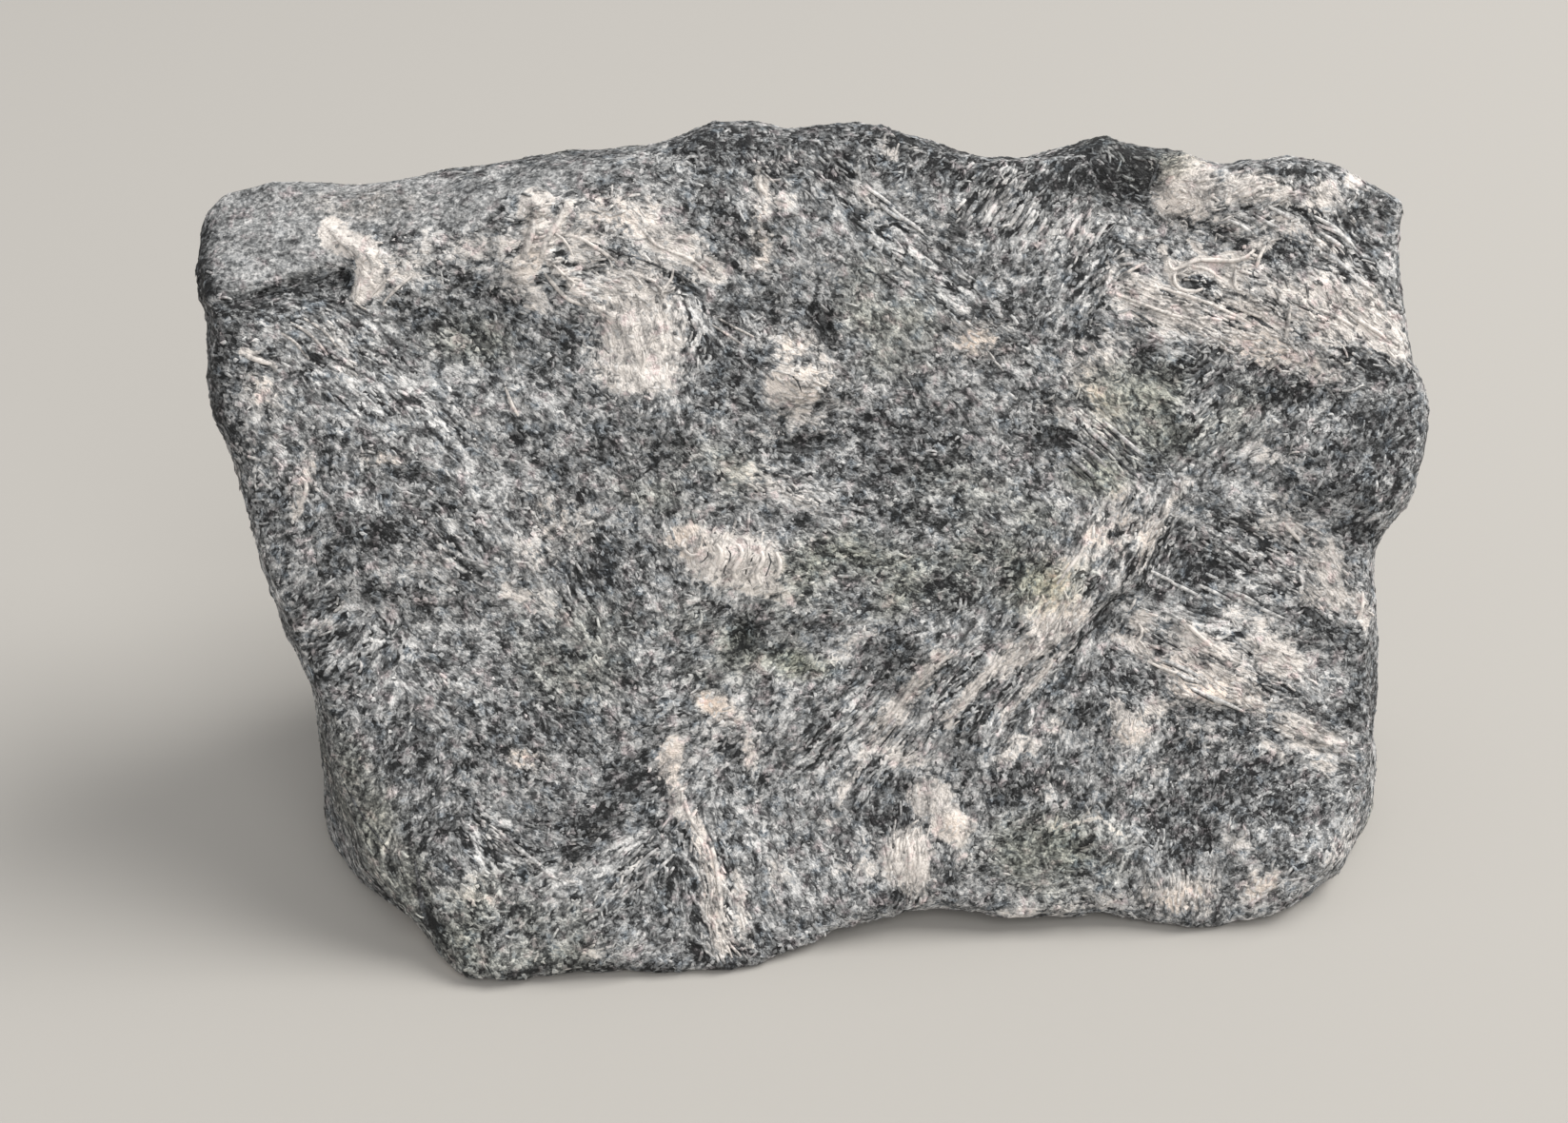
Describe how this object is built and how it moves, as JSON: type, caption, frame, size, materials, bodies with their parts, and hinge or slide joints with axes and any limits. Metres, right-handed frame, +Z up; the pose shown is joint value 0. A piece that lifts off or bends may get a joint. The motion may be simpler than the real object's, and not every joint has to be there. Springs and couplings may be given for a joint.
{
  "type": "migmatite rock",
  "caption": "Hand specimen of dark fibrous migmatite with pale veins: a rough broken block with a broad leaning face, standing on an uneven flat base.",
  "frame": {"origin": "middle of the bounding box, on the plane the rock rests on", "axes": "+Z up from the base; the broad leaning face looks towards -Y; +X along its length, to the right of someone who looks at that face"},
  "size_m": [0.0932, 0.0506, 0.0555],
  "materials": {
    "rock": "rough broken stone, dark grey with pale cream veins"
  },
  "bodies": {
    "root": {"migmatite_rock": "rock"}
  },
  "joints": []
}
